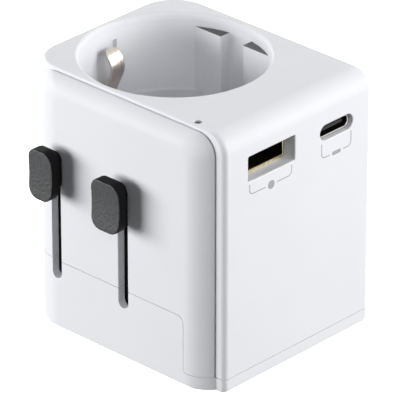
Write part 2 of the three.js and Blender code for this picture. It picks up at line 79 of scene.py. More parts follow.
CUP_RADIUS = 19.5
CUP_TOP = 55.17
CUP_FLOOR = 39.5
CUP_UNDER = 38.0
RIM = 0.85
PIN_PITCH = 19.0
PIN_HOLE = 2.8
CUP_ROOM = 20.8  # radius of the room in the casing that the cup stands in
RIB_X = (16.6, 20.0)
RIB_Y = (3.05, 10.7)
RIB_TOP = TOP - 3
CLIP_POCKET_Y = (17.2, 20.05)
CLIP_POCKET_HALF = 2.9
CLIP_TAB_Y = 18.7
LENS_AT = (-19.2, -24.5)
LENS_HOLE = 0.85

SLOT_YS = (-8.4, 10.4)
REAR_SLOT_Y = -10.0
SLOT = (11.3, 38.9)
SLOT_HALF = 1.35
KNOB_HALF_HEIGHT = 5.6
KNOB_REACH = 5.3
KNOB_EDGE = 0.32
STEM_Z = (34.8, 37.2)

PORT_A = (-7.4, 47.6, 6.75, 2.75)
PORT_C = (11.6, 47.6, 4.8, 1.7)
PORT_JAMB = 3.4  # depth of the moulded frame behind the type-A opening
BOSSES = ((-17.9, -29.4), (18.0, -29.4), (16.9, 16.5), (-17.0, 16.3))
THREE_PIN_X = 11.1
THREE_PIN_Y = -27.4
EARTH_PIN_Y = -5.2
ROUND_PIN_X = 9.3
ROUND_PIN_Y = 11.0
BLADE_X = 16.2
BLADE_YS = (-3.65, -16.35)
PIN_TOP = 28.2

# node, body, middle y, middle z, half width, slot y, face, outward direction, inner end of the stem
KNOBS = (
    ("three_pin_knob", "three_pin_set", SLOT_YS[0], 36.2, 3.9, SLOT_YS[0], FACE, -1, -21.0),
    ("round_pin_knob", "round_pin_set", 9.8, 36.8, 3.3, SLOT_YS[1], FACE, -1, -21.0),
    ("blade_knob", "blade_set", REAR_SLOT_Y, 37.0, 3.9, REAR_SLOT_Y, REAR, 1, 20.2),
)

SPRING_Y = (4.5, 13.5)
SPRING_Z = 37.05
SPRING_RADIUS = 0.45
SPRING_WIRE = 0.15
SPRING_TURNS = 5
SPRING_SWEEP = 14.14  # way round the coil, for its whole length

# ---------------------------------------------------------------- stage, in metres and degrees
CAMERA_AZIMUTH = -46.55
CAMERA_ELEVATION = 27.32
CAMERA_LENS = 443.5  # mm, at one metre
FLOOR_REACH = 6.0
BACKDROP_RADIUS = 5.5
SOFTBOX_DISTANCE = 0.6


# ---------------------------------------------------------------- mesh tools
def spot(axis, along, u, v):
    """A point given by its place along an axis and its two places across it."""
    return {"x": (along, u, v), "y": (u, along, v), "z": (u, v, along)}[axis]


def mesh_object(name, points, faces):
    """A new object whose mesh has these points, in millimetres, merged and facing outwards."""
    mesh = bpy.data.meshes.new(name)
    mesh.from_pydata([[c * MM for c in point] for point in points], [], faces)
    work = bmesh.new()
    work.from_mesh(mesh)
    bmesh.ops.remove_doubles(work, verts=work.verts, dist=1e-8)
    bmesh.ops.recalc_face_normals(work, faces=work.faces)
    work.to_mesh(mesh)
    work.free()
    obj = bpy.data.objects.new(name, mesh)
    bpy.context.scene.collection.objects.link(obj)
    return obj


def loft(name, rings):
    """A closed skin through rings of equal length, capped at both ends."""
    count = len(rings[0])
    points = [point for ring in rings for point in ring]
    faces = []
    for i in range(len(rings) - 1):
        low = i * count
        for j in range(count):
            k = (j + 1) % count
            faces.append((low + j, low + k, low + count + k, low + count + j))
    faces.append(tuple(range(count - 1, -1, -1)))
    faces.append(tuple(range(len(points) - count, len(points))))
    return mesh_object(name, points, faces)


def outline(u, v, radii, arc=10, side=4):
    """Points round a rectangle with a radius at each corner, always the same number."""
    corners = ((u[0], v[0], 1, 1), (u[1], v[0], -1, 1), (u[1], v[1], -1, -1), (u[0], v[1], 1, -1))
    ends = []
    for i, (cu, cv, su, sv) in enumerate(corners):
        radius = max(radii[i], 0.01)
        for step in range(arc + 1):
            angle = math.pi * (1 + i / 2) + step / arc * math.pi / 2
            ends.append((
                cu + su * radius + radius * math.cos(angle),
                cv + sv * radius + radius * math.sin(angle),
            ))
    points = []
    for i, point in enumerate(ends):
        points.append(point)
        if i % (arc + 1) == arc:
            following = ends[(i + 1) % len(ends)]
            for step in range(1, side + 1):
                t = step / (side + 1)
                points.append(tuple(a + (b - a) * t for a, b in zip(point, following)))
    return points


def prism(name, shape, axis, low, high):
    """A flat shape pushed along an axis."""
    return loft(name, [[spot(axis, along, u, v) for u, v in shape] for along in (low, high)])


def block(name, x, y, z, radius=0.01):
    """A box with rounded upright edges."""
    return prism(name, outline(x, y, (radius,) * 4, 4, 0), "z", *z)


def turned(name, profile, x=0.0, y=0.0, steps=64):
    """A solid of revolution about an upright line; the profile is radius and height."""
    rings = []
    for radius, height in profile:
        rings.append([
            (
                x + max(radius, 1e-4) * math.cos(2 * math.pi * i / steps),
                y + max(radius, 1e-4) * math.sin(2 * math.pi * i / steps),
                height,
            )
            for i in range(steps)
        ])
    return loft(name, rings)


def quarter(steps):
    """Sines and cosines through a quarter turn."""
    angles = [math.pi / 2 * step / steps for step in range(steps + 1)]
    return [(math.sin(angle), math.cos(angle)) for angle in angles]


def drawn_in(end, radius, place):
    """How far a rounded edge has drawn in at this place, when the form ends at end."""
    t = min(max((place - end + radius) / radius, 0.0), 1.0)
    return radius * (1 - math.sqrt(1 - t * t))


def levels(start, end, radii, steps=12):
    """Places between start and end that follow each edge radius in even turns."""
    places = {start, end}
    for radius in radii:
        places |= {end - radius * (1 - sine) for sine, _ in quarter(steps)}
    chosen = []
    for place in sorted(p for p in places if p >= start):
        if not chosen or place - chosen[-1] > 0.012:
            chosen.append(place)
    chosen[-1] = end
    return chosen


def opening(name, shape, axis, face, outward, lip, depth):
    """A cutter for a hole whose edge is rounded by lip; shape(grow) gives its outline."""
    rings = [[spot(axis, face + outward, u, v) for u, v in shape(lip)]]
    for sine, cosine in quarter(5):
        along = face - outward * lip * (1 - cosine)
        rings.append([spot(axis, along, u, v) for u, v in shape(lip * (1 - sine))])
    rings.append([spot(axis, face - outward * depth, u, v) for u, v in shape(0)])
    return loft(name, rings)


def rectangle_hole(centre, half, radius):
    """A shape for opening(): a rounded rectangle about a centre."""
    def shape(grow):
        u = (centre[0] - half[0] - grow, centre[0] + half[0] + grow)
        v = (centre[1] - half[1] - grow, centre[1] + half[1] + grow)
        return outline(u, v, (radius + grow,) * 4, 8, 1)
    return shape


def carve(body, steps):
    """Cuts, joins or keeps the common part of a body and each tool in turn."""
    for operation, tool in steps:
        change = body.modifiers.new(tool.name, "BOOLEAN")
        change.operation = operation
        change.solver = "EXACT"
        change.object = tool
    graph = bpy.context.evaluated_depsgraph_get()
    body_mesh = bpy.data.meshes.new_from_object(body.evaluated_get(graph))
    body.modifiers.clear()
    body.data = body_mesh
    for _, tool in steps:
        bpy.data.objects.remove(tool)
    if len(body_mesh.polygons) < 4:
        raise RuntimeError(f"{body.name} was cut away")
    return body


def finish(obj, body, finishes, replaced=(), angle=32.0):
    """Gives a made piece its finish and its place on a body of the frame."""
    mesh = obj.data
    work = bmesh.new()
    work.from_mesh(mesh)
    bmesh.ops.remove_doubles(work, verts=work.verts, dist=2e-7)
    bmesh.ops.dissolve_degenerate(work, edges=work.edges, dist=1e-7)
    work.to_mesh(mesh)
    work.free()
    kept = [polygon.material_index for polygon in mesh.polygons]
    mesh.materials.clear()
    for material in finishes:
        mesh.materials.append(material)
    mesh.polygons.foreach_set("material_index", kept)
    mesh.shade_smooth()
    mesh.set_sharp_from_angle(angle=math.radians(angle))
    weighted = obj.modifiers.new("even shading", "WEIGHTED_NORMAL")
    weighted.keep_sharp = True
    weighted.weight = 80
    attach(obj, body)
    if replaced:
        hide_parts(*replaced)
    return obj


# ---------------------------------------------------------------- finishes
def shader(name):
    """A new material and the parts of its node tree that every finish uses."""
    material = bpy.data.materials.new(name)
    material.use_nodes = True
    tree = material.node_tree
    surface = tree.nodes["Principled BSDF"]
    coordinates = tree.nodes.new("ShaderNodeTexCoord")
    return material, tree, surface, coordinates.outputs["Object"]


def noise(tree, vector, scale, detail=3.0, stretch=(1, 1, 1)):
    """A noise pattern on object coordinates, at so many features a metre."""
    mapping = tree.nodes.new("ShaderNodeMapping")
    mapping.inputs["Scale"].default_value = stretch
    pattern = tree.nodes.new("ShaderNodeTexNoise")
    pattern.inputs["Scale"].default_value = scale
    pattern.inputs["Detail"].default_value = detail
    tree.links.new(vector, mapping.inputs["Vector"])
    tree.links.new(mapping.outputs["Vector"], pattern.inputs["Vector"])
    return pattern.outputs["Fac"]


def spread(tree, value, low, high):
    """Maps the middle of a noise pattern to a range."""
    ranged = tree.nodes.new("ShaderNodeMapRange")
    ranged.inputs["From Min"].default_value = 0.3
    ranged.inputs["From Max"].default_value = 0.7
    ranged.inputs["To Min"].default_value = low
    ranged.inputs["To Max"].default_value = high
    tree.links.new(value, ranged.inputs["Value"])
    return ranged.outputs["Result"]


def shaded(tree, surface, value, colour, change):
    """Varies a base colour a little by a pattern."""
    mix = tree.nodes.new("ShaderNodeMix")
    mix.data_type = "RGBA"
    mix.inputs["A"].default_value = (*[c * (1 - change) for c in colour[:3]], 1)
    mix.inputs["B"].default_value = (*[min(c * (1 + change), 1) for c in colour[:3]], 1)
    tree.links.new(value, mix.inputs["Factor"])
    tree.links.new(mix.outputs["Result"], surface.inputs["Base Color"])


def relief(tree, surface, height, depth, strength):
    """A bump of the given depth in millimetres."""
    bump = tree.nodes.new("ShaderNodeBump")
    bump.inputs["Distance"].default_value = depth * MM
    bump.inputs["Strength"].default_value = strength
    tree.links.new(height, bump.inputs["Height"])
    tree.links.new(bump.outputs["Normal"], surface.inputs["Normal"])


def moulded(name, colour, roughness, grain, depth, change=0.02, specular=0.5):
    """Moulded plastic: spark-eroded grain, uneven gloss and a faint drift of colour."""
    material, tree, surface, vector = shader(name)
    surface.inputs["Specular IOR Level"].default_value = specular
    fine = noise(tree, vector, grain, 4.0)
    broad = noise(tree, vector, 90.0, 2.0)
    shaded(tree, surface, spread(tree, broad, 0, 1), colour, change)
    gloss = spread(tree, fine, roughness - 0.05, roughness + 0.05)
    tree.links.new(gloss, surface.inputs["Roughness"])
    relief(tree, surface, fine, depth, 0.6)
    return material


def plated(name, colour, roughness, stretch=(1, 1, 1), grain=1800.0):
    """Drawn or plated metal: fine draw lines along one axis and clouded polish."""
    material, tree, surface, vector = shader(name)
    surface.inputs["Metallic"].default_value = 1.0
    lines = noise(tree, vector, grain, 3.0, stretch)
    clouds = noise(tree, vector, 220.0, 2.0)
    shaded(tree, surface, spread(tree, clouds, 0, 1), colour, 0.06)
    gloss = spread(tree, lines, roughness - 0.06, roughness + 0.08)
    tree.links.new(gloss, surface.inputs["Roughness"])
    relief(tree, surface, lines, 0.002, 0.4)
    return material


def laminate(name, colour):
    """Solder-masked board: the glass weave shows faintly through the mask."""
    material, tree, surface, vector = shader(name)
    surface.inputs["Coat Weight"].default_value = 0.4
    weave = tree.nodes.new("ShaderNodeTexWave")
    weave.inputs["Scale"].default_value = 900.0
    weave.inputs["Distortion"].default_value = 1.5
    tree.links.new(vector, weave.inputs["Vector"])
    shaded(tree, surface, weave.outputs["Fac"], colour, 0.12)
    gloss = spread(tree, noise(tree, vector, 600.0), 0.3, 0.42)
    tree.links.new(gloss, surface.inputs["Roughness"])
    relief(tree, surface, weave.outputs["Fac"], 0.01, 0.4)
    return material


def wound(name, colour):
    """Layers of tape round a winding, with their edges showing as rings."""
    material, tree, surface, vector = shader(name)
    bands = tree.nodes.new("ShaderNodeTexWave")
    bands.bands_direction = "Z"
    bands.inputs["Scale"].default_value = 300.0
    bands.inputs["Distortion"].default_value = 0.6
    tree.links.new(vector, bands.inputs["Vector"])
    shaded(tree, surface, bands.outputs["Fac"], colour, 0.2)
    gloss = spread(tree, noise(tree, vector, 900.0), 0.35, 0.5)
    tree.links.new(gloss, surface.inputs["Roughness"])
    relief(tree, surface, bands.outputs["Fac"], 0.03, 0.5)
    return material


MATERIALS = {}


def finish_named(name):
    """The material of one finish, made the first time that a piece asks for it."""
    look = bpy.context.scene.adapter
    makers = {
        "white_casing": lambda: moulded(name, look.white, look.white_gloss, 5200.0, 0.004, 0.008, 0.15),
        "white_outlet": lambda: moulded(name, look.outlet_white, 0.5, 5200.0, 0.004, 0.01, 0.35),
        # The rib tops' dark grey is painted shade; the ribs are moulded in the outlet's white.
        "rib_top_painted_shade": lambda: moulded(name, look.rib_top_painted_shade, 0.7, 5200.0, 0.006, 0.03, 0.2),
        "shutter_plastic": lambda: moulded(name, (0.62, 0.63, 0.64), 0.5, 4200.0, 0.004),
        # The knobs' sides are made much darker than their faces. This is partly the smooth black plastic
        # and partly painted shade.
        "black_knob": lambda: moulded(name, look.knob_side_painted_shade, 0.55, 2600.0, 0.02, 0.1, 0.08),
        "knob_face": lambda: moulded(name, look.black, 0.55, 1500.0, 0.35, 0.3, 0.4),
        "black_moulding": lambda: moulded(name, (0.012, 0.012, 0.013), 0.6, 3600.0, 0.01, 0.1, 0.2),
        "port_tongue": lambda: moulded(name, (0.015, 0.015, 0.016), 0.5, 3600.0, 0.006, 0.1, 0.3),
        "pin_sleeve": lambda: moulded(name, (0.02, 0.02, 0.022), 0.5, 3000.0, 0.01, 0.1, 0.4),
        "port_mark": lambda: moulded(name, look.mark, 0.6, 5200.0, 0.004, 0.05, 0.3),
        "nickel_contact": lambda: plated(name, (0.56, 0.51, 0.46), 0.3, (1, 0.1, 0.1)),
        "nickel_pin": lambda: plated(name, (0.66, 0.65, 0.63), 0.3, (1, 1, 0.08), 9000.0),
        "brass_pin": lambda: plated(name, (0.76, 0.58, 0.28), 0.34, (1, 1, 0.08), 9000.0),
        "brass_contact": lambda: plated(name, (0.68, 0.50, 0.22), 0.34, (1, 1, 0.1)),
        "gold_contact": lambda: plated(name, (0.95, 0.72, 0.32), 0.22, (1, 0.1, 1)),
        "copper_strap": lambda: plated(name, (0.70, 0.36, 0.20), 0.36, (1, 0.1, 1)),
        "steel_fastener": lambda: plated(name, (0.50, 0.51, 0.52), 0.34),
        "spring_wire": lambda: plated(name, (0.42, 0.43, 0.45), 0.3, (1, 0.2, 1)),
        "port_steel": lambda: plated(name, (0.62, 0.62, 0.61), 0.26, (1, 0.15, 1)),
        # The dark metal inside the port shells is painted shade deep in the ports; the shells are one metal
        # throughout.
        "shell_inside_painted_shade": lambda: plated(name, (0.10, 0.082, 0.05), 0.34, (1, 0.15, 1)),
        "port_gilt": lambda: plated(name, look.shell, 0.3, (1, 0.15, 1)),
        "board_laminate": lambda: laminate(name, (0.015, 0.13, 0.06)),
        "winding_tape": lambda: wound(name, (0.55, 0.33, 0.06)),
        "capacitor_sleeve": lambda: wound(name, (0.02, 0.025, 0.04)),
        "fuse_ceramic": lambda: moulded(name, (0.70, 0.68, 0.62), 0.4, 2400.0, 0.01),
        "lens_plastic": lambda: moulded(name, (0.06, 0.065, 0.07), 0.18, 3000.0, 0.002, 0.1),
    }
    if name not in MATERIALS:
        MATERIALS[name] = makers[name]()
    return MATERIALS[name]


# ---------------------------------------------------------------- forms shared by pieces
def casing_form(name, inset, low, foot=0.0):
    """The block behind the split, from a height to its rounded top."""
    top = TOP - inset
    front = FRONT_ROUND - inset
    edge = max(TOP_ROUND - inset, 0.3)
    lip = 0.3
    heights = levels(low, top, (front, edge, lip))
    if foot:
        heights = [low + foot * (1 - cosine) for _, cosine in quarter(5)] + heights[1:]
        heights = sorted(heights)
    rings = []
    for z in heights:
        under = drawn_in(-low, foot, -z) if foot else 0.0
        at_front = drawn_in(top, front, z) + under
        at_edge = drawn_in(top, edge, z) + under
        at_split = drawn_in(top, lip, z)
        x = (SPLIT + inset + at_split, REAR - inset - at_edge)
        y = (PORT_SIDE + inset + at_front, BACK - inset - at_edge)
        radii = [
            CORNERS[0] - inset,
            CORNERS[1] - inset,
            CORNERS[2] - inset - at_edge,
            CORNERS[3] - inset - 0.6 * at_edge,
        ]
        shape = outline(x, y, [max(radius, 0.4) for radius in radii], 12, 4)
        rings.append([(u, v, z) for u, v in shape])
    return loft(name, rings)


def cover_form(name, inset, low, back, foot=0.0):
    """The bowed shell form on the slide side, as rings from the split to its face."""
    face = FACE + inset
    sides = [radius - inset for radius in COVER_SIDE_ROUNDS]
    crown = COVER_TOP_ROUND - inset
    places = [-place for place in levels(-back, -face, (*sides, crown, foot or crown))]
    rings = []
    for x in places:
        near, far = (drawn_in(-face, side, -x) for side in sides)
        at_crown = drawn_in(-face, crown, -x)
        at_foot = drawn_in(-face, foot, -x) if foot else 0.0
        y = (COVER_Y[0] + inset + near, COVER_Y[1] - inset - far)
        z = (low + at_foot, COVER_TOP - inset - at_crown)
        corners = [max(COVER_CORNER - inset - 0.3 * side, 1.0) for side in (far, near)]
        shape = outline(y, z, (0.4, 0.4, *corners), 12, 6)
        rings.append([(x, u, v) for u, v in shape])
    return loft(name, rings)


def base_region(name, clearance):
    """The part of the slide side that belongs to the base, stepped up under the slots."""
    step = STEP_Y - clearance
    inner = 0.8 - clearance
    outer = 1.6 + clearance
    points = [(-40, -2), (-40, SEAM_Z + clearance)]
    for sine, cosine in quarter(6):
        points.append((step - inner * (1 - sine), SEAM_Z + clearance + inner * (1 - cosine)))
    for sine, cosine in quarter(8):
        points.append((step + outer * (1 - cosine), STEP_Z + clearance - outer * (1 - sine)))
    points += [(30, STEP_Z + clearance), (30, -2)]
    return prism(name, points, "x", -30, SPLIT + 6)


def slot_opening(name, y, face, outward, depth=4.0, lip=0.12):
    """A cutter for one slide slot."""
    centre = (y, sum(SLOT) / 2)
    half = (SLOT_HALF, (SLOT[1] - SLOT[0]) / 2)
    return opening(name, rectangle_hole(centre, half, SLOT_HALF - 0.01), "x", face, outward, lip, depth)


# ---------------------------------------------------------------- pieces
def make_casing(look):
    """The main casing: one shell, open at the base and at the slide side."""
    rim = [(0, TOP + 1), (CUP_RADIUS + RIM, TOP + 1)]
    rim += [
        (CUP_RADIUS + RIM * (1 - sine), TOP - RIM * (1 - cosine)) for sine, cosine in quarter(8)
    ]
    rim += [(CUP_RADIUS, 52.0), (0, 52.0)]
    mouth_y = (PORT_SIDE + LEDGES[0], BACK - LEDGES[1])
    x, z, half_x, half_z = PORT_A
    jamb_y = (PORT_SIDE + 1, PORT_SIDE + PORT_JAMB)
    jamb = block("jamb", (x - half_x - 0.8, x + half_x + 0.8), jamb_y, (44.66, z + half_z + 0.8), 0.1)
    port_a = rectangle_hole(PORT_A[:2], PORT_A[2:], 0.3)
    port_c = rectangle_hole(PORT_C[:2], PORT_C[2:], 1.65)
    lens = rectangle_hole(LENS_AT, (LENS_HOLE, LENS_HOLE), LENS_HOLE - 0.01)
    room = [(0, 30), (CUP_ROOM, 30), (CUP_ROOM, 55.2), (0, 55.2)]
    steps = [
        ("DIFFERENCE", casing_form("inner", look.wall / MM, -1.0)),
        ("UNION", jamb),
        ("DIFFERENCE", block("mouth", (-23, -18), mouth_y, (-1, TOP - LEDGES[0]), 1.0)),
        ("DIFFERENCE", turned("rim", rim, steps=192)),
        ("DIFFERENCE", turned("cup room", room, steps=192)),
        ("DIFFERENCE", opening("port a", port_a, "y", PORT_SIDE, -1, 0.3, 5)),
        ("DIFFERENCE", opening("port c", port_c, "y", PORT_SIDE, -1, 0.3, 3)),
        ("DIFFERENCE", slot_opening("rear slot", REAR_SLOT_Y, REAR, 1)),
        ("DIFFERENCE", opening("lens hole", lens, "z", TOP, 1, 0.12, 4)),
    ]
    casing = carve(casing_form("casing_shell", 0.0, SEAM_Z + look.seam / MM), steps)
    posts = []
    for i, (x, y) in enumerate(BOSSES):
        reach = [(0, 4.0), (2.5, 4.0), (2.5, 29.6), (2.1, 30.0), (0, 30.0)]
        bore = [(0, 3.0), (1.3, 3.0), (1.3, 18.0), (0, 18.8)]
        posts.append(("UNION", turned(f"post {i}", reach, x, y, 32)))
        posts.append(("DIFFERENCE", turned(f"bore {i}", bore, x, y, 24)))
    carve(casing, posts)
    outside = casing_form("outside", 0.0, SEAM_Z + look.seam / MM)
    carve(casing, [("INTERSECT", outside)])
    finish(casing, "housing", [finish_named("white_casing")], ["main_casing"])


def make_cover(look):
    """The slide-side cover, bowed at its edges, with two slots."""
    steps = [
        ("DIFFERENCE", cover_form("inner", look.wall / MM, -3.0, SPLIT + 4)),
        ("DIFFERENCE", casing_form("casing room", -look.ledge_gap / MM, -3.0)),
        ("DIFFERENCE", base_region("base room", look.seam / MM)),
    ]
    steps += [("DIFFERENCE", slot_opening(f"slot {i}", y, FACE, -1)) for i, y in enumerate(SLOT_YS)]
    cover = carve(cover_form("slide_cover_shell", 0.0, -2.0, SPLIT + 3), steps)
    finish(cover, "housing", [finish_named("white_casing")], ["slide_cover"])


def make_base(look):
    """The base: a shallow tray that steps up on the slide side."""
    tray = casing_form("base_shell", 0.0, 0.0, 0.5)
    step = carve(cover_form("step", 0.0, 0.0, SPLIT + 3, 0.6), [
        ("INTERSECT", base_region("region", -look.seam / MM)),
        ("DIFFERENCE", casing_form("casing room", -look.ledge_gap / MM, SEAM_Z - look.seam / MM)),
    ])
    slab = block("slab", (-40, 40), (-40, 40), (-1, SEAM_Z - look.seam / MM))
    carve(tray, [("INTERSECT", slab), ("UNION", step)])
    wall = look.wall / MM
    pocket_y = (PORT_SIDE + wall, BACK - wall)
    pocket = outline((FACE + wall, REAR - wall), pocket_y, (6, 1, 7, 9.9), 8, 2)
    steps = [("DIFFERENCE", prism("pocket", pocket, "z", BASE_FLOOR, 40))]
    steps += [("DIFFERENCE", slot_opening(f"slot {i}", y, FACE, -1)) for i, y in enumerate(SLOT_YS)]
    for side in (-1, 1):
        hole = rectangle_hole((side * THREE_PIN_X, THREE_PIN_Y), (3.5, 2.3), 0.4)
        steps.append(("DIFFERENCE", opening(f"live {side}", hole, "z", 0, -1, 0.25, 4)))
        hole = rectangle_hole((side * ROUND_PIN_X, ROUND_PIN_Y), (2.3, 2.3), 2.29)
        steps.append(("DIFFERENCE", opening(f"round {side}", hole, "z", 0, -1, 0.25, 4)))
    hole = rectangle_hole((0, EARTH_PIN_Y), (2.3, 4.3), 0.4)
    steps.append(("DIFFERENCE", opening("earth", hole, "z", 0, -1, 0.25, 4)))
    for y, side in zip(BLADE_YS, (1, -1)):
        for turn in (0, 6, 12, 18, 24, 30):
            angle = math.radians(side * turn)
            cosine, sine = math.cos(angle), math.sin(angle)
            shape = [
                (BLADE_X + u * cosine - v * sine, y + u * sine + v * cosine)
                for u, v in outline((-3.45, 3.45), (-1.05, 1.05), (0.3,) * 4, 4, 0)
            ]
            steps.append(("DIFFERENCE", prism(f"blade {side} {turn}", shape, "z", -1, 4)))
    for i, (x, y) in enumerate(BOSSES):
        bore = [(0, -1), (2.4, -1), (2.4, 1.2), (1.35, 1.2), (1.35, 4), (0, 4)]
        steps.append(("DIFFERENCE", turned(f"screw {i}", bore, x, y, 32)))
    carve(tray, steps)
    finish(tray, "housing", [finish_named("white_casing")], ["base_cover"])


def make_cup(look):
    """The outlet cup with its keying ribs, clip pockets and pin holes."""
    outer = CUP_RADIUS + 1.0
    bowl = [(0, CUP_UNDER), (outer, CUP_UNDER), (outer, CUP_TOP), (CUP_RADIUS + 0.02, CUP_TOP)]
    bowl += [(CUP_RADIUS, CUP_TOP - 0.02), (CUP_RADIUS, CUP_FLOOR + 0.6)]
    bowl += [(CUP_RADIUS - 0.6 * (1 - cosine), CUP_FLOOR + 0.6 * (1 - sine)) for sine, cosine in quarter(5)]
    bowl.append((0, CUP_FLOOR))
    steps = []
    for side in (-1, 1):
        for end in (-1, 1):
            x = sorted(side * place for place in RIB_X)
            y = sorted(end * place for place in RIB_Y)
            rib = block(f"rib {side} {end}", x, y, (CUP_FLOOR - 0.5, RIB_TOP), 0.3)
            bound = CUP_RADIUS + 0.4
            room = turned("room", [(0, 38.6), (bound, 38.6), (bound, 56), (0, 56)], steps=192)
            carve(rib, [("INTERSECT", room)])
            steps.append(("UNION", rib))
    for side in (-1, 1):
        y = sorted(side * place for place in CLIP_POCKET_Y)
        x = (-CLIP_POCKET_HALF, CLIP_POCKET_HALF)
        steps.append(("DIFFERENCE", block(f"pocket {side}", x, y, (CUP_FLOOR, TOP - 4), 0.3)))
        y = (side * CLIP_TAB_Y - 0.8, side * CLIP_TAB_Y + 0.8)
        steps.append(("DIFFERENCE", block(f"tab slot {side}", (-2.5, 2.5), y, (37, 41), 0.2)))
        hole = rectangle_hole((side * PIN_PITCH / 2, 0), (PIN_HOLE, PIN_HOLE), PIN_HOLE - 0.01)
        steps.append(("DIFFERENCE", opening(f"hole {side}", hole, "z", CUP_FLOOR, 1, 0.4, 3)))
    cup = carve(turned("outlet_cup_shell", bowl, steps=192), steps)
    # The flat tops of the ribs get the dark grey of painted shade; every other face of the cup keeps its
    # white.
    for polygon in cup.data.polygons:
        at = polygon.center
        level = abs(at.z - RIB_TOP * MM) < 1e-5 and math.hypot(at.x, at.y) < CUP_RADIUS * MM
        polygon.material_index = 1 if level and abs(polygon.normal.z) > 0.9 else 0
    finishes = [finish_named("white_outlet"), finish_named("rib_top_painted_shade")]
    finish(cup, "housing", finishes, ["outlet_cup"])


def smooth_path(points, steps=6):
    """A Catmull-Rom path through points."""
    padded = [points[0], *points, points[-1]]
    path = []
    for i in range(1, len(padded) - 2):
        a, b, c, d = (Vector(p) for p in padded[i - 1:i + 3])
        for step in range(steps):
            t = step / steps
            path.append(
                0.5 * (2 * b + (c - a) * t + (2 * a - 5 * b + 4 * c - d) * t * t
                       + (3 * b - a - 3 * c + d) * t * t * t)
            )
    path.append(Vector(points[-1]))
    return path


def ribbon(name, points, thickness, half, narrow=0.0):
    """A sprung strip of rounded section that follows points in the YZ plane."""
    path = smooth_path(points)
    rings = []
    for i, here in enumerate(path):
        along = (path[min(i + 1, len(path) - 1)] - path[max(i - 1, 0)]).normalized()
        across = Vector((-along.y, along.x))
        end = min(i, 6) / 6
        width = half - narrow * (1 - end) ** 2
        section = outline((-width, width), (-thickness / 2, thickness / 2), (thickness * 0.35,) * 4, 4, 1)
        rings.append([(u, *(here + across * v)) for u, v in section])
    return loft(name, rings)


CLIP = (
    (18.3, 51.9), (17.5, 51.2), (16.6, 49.8), (16.2, 48.4), (16.4, 47.0), (17.0, 45.6),
    (17.9, 43.8), (18.5, 42.2), (18.7, 40.8), (18.7, 36.5),
)


def make_clips(look):
    """The two sprung earth clips."""
    for side, node in ((1, "earth_clip_rear"), (-1, "earth_clip_front")):
        clip = ribbon(f"{node}_spring", [(side * y, z) for y, z in CLIP], 0.6, 1.9, 0.7)
        finish(clip, "housing", [finish_named("nickel_contact")], [node])


def knob(name, y, z, half_width, slot_y, face, outward, stem_end):
    """A slide knob: a thin cap with rounded edges and a dished front, on a stem."""
    front = face + outward * KNOB_REACH
    back = front - outward * 2.5
    edge = KNOB_EDGE

    def ring(along, grow, dish=0.0):
        half_u, half_v = half_width + grow, KNOB_HALF_HEIGHT + grow
        shape = outline((-half_u, half_u), (-half_v, half_v), (2.6 + grow * 0.6,) * 4, 10, 5)
        points = []
        for u, v in shape:
            hollow = 0.42 * max(0.0, 1 - (v / 5.1) ** 2) * dish
            points.append((along - outward * hollow, y + u, z + v))
        return points

    rings = [ring(back, -edge * 0.7)]
    rings += [ring(back + outward * edge * 0.7 * (1 - c), -edge * 0.7 * (1 - s)) for s, c in quarter(4)]
    rings += [ring(front - outward * edge * (1 - s), -edge * (1 - c), 0.6 + 0.4 * s) for s, c in quarter(6)]
    for scale in (0.86, 0.72, 0.56, 0.4, 0.24, 0.1):
        base = ring(front, -edge, 1.0)
        shrunk = []
        for _, py, pz in base:
            v = (pz - z) * scale
            hollow = 0.42 * max(0.0, 1 - (v / 5.1) ** 2)
            shrunk.append((front - outward * hollow, y + (py - y) * scale, z + v))
        rings.append(shrunk)
    cap = loft(name, rings)
    ends = sorted((stem_end, back + outward * 0.3))
    stem_y = (slot_y - 1.05, slot_y + 1.05)
    stem = prism("stem", outline(stem_y, STEM_Z, (0.25,) * 4, 4, 0), "x", *ends)
    collar_ends = sorted((face + outward * 1.0, back + outward * 0.3))
    collar_z = (z - 4.0, z + 4.2)
    collar = prism("collar", outline((y - 2.2, y + 2.2), collar_z, (1.6,) * 4, 8, 1), "x", *collar_ends)
    piece = carve(cap, [("UNION", stem), ("UNION", collar)])
    # Faces turned outward get the grained face finish. The sides and stems get the darker finish, which is
    # partly painted shade.
    for polygon in piece.data.polygons:
        beyond = (polygon.center.x / MM - front) * outward
        polygon.material_index = 1 if beyond > -0.8 and polygon.normal.x * outward > 0.8 else 0
    return piece


def make_knobs(look):
    """The three slide knobs."""
    finishes = [finish_named("black_knob"), finish_named("knob_face")]
    for node, body, y, z, half_width, slot_y, face, outward, stem_end in KNOBS:
        piece = knob(f"{node}_cap", y, z, half_width, slot_y, face, outward, stem_end)
        finish(piece, body, finishes, [node], 40.0)


def shell(name, port, radius, start, end, wall):
    """A drawn metal port shell: a rounded tube, closed at its back."""
    x, z, half_x, half_z = port
    half_x, half_z = half_x - 0.3, half_z - 0.3

    def ring(y, inset):
        u = (x - half_x + inset, x + half_x - inset)
        v = (z - half_z + inset, z + half_z - inset)
        shape = outline(u, v, (max(radius - inset, 0.12),) * 4, 8, 2)
        return [(px, y, pz) for px, pz in shape]

    rings = [ring(end, 0.2), ring(end - 0.2, 0.0), ring(start + 0.1, 0.0), ring(start, 0.08)]
    rings += [ring(start, wall - 0.08), ring(start + 0.1, wall), ring(end - 0.8, wall)]
    return loft(name, rings)


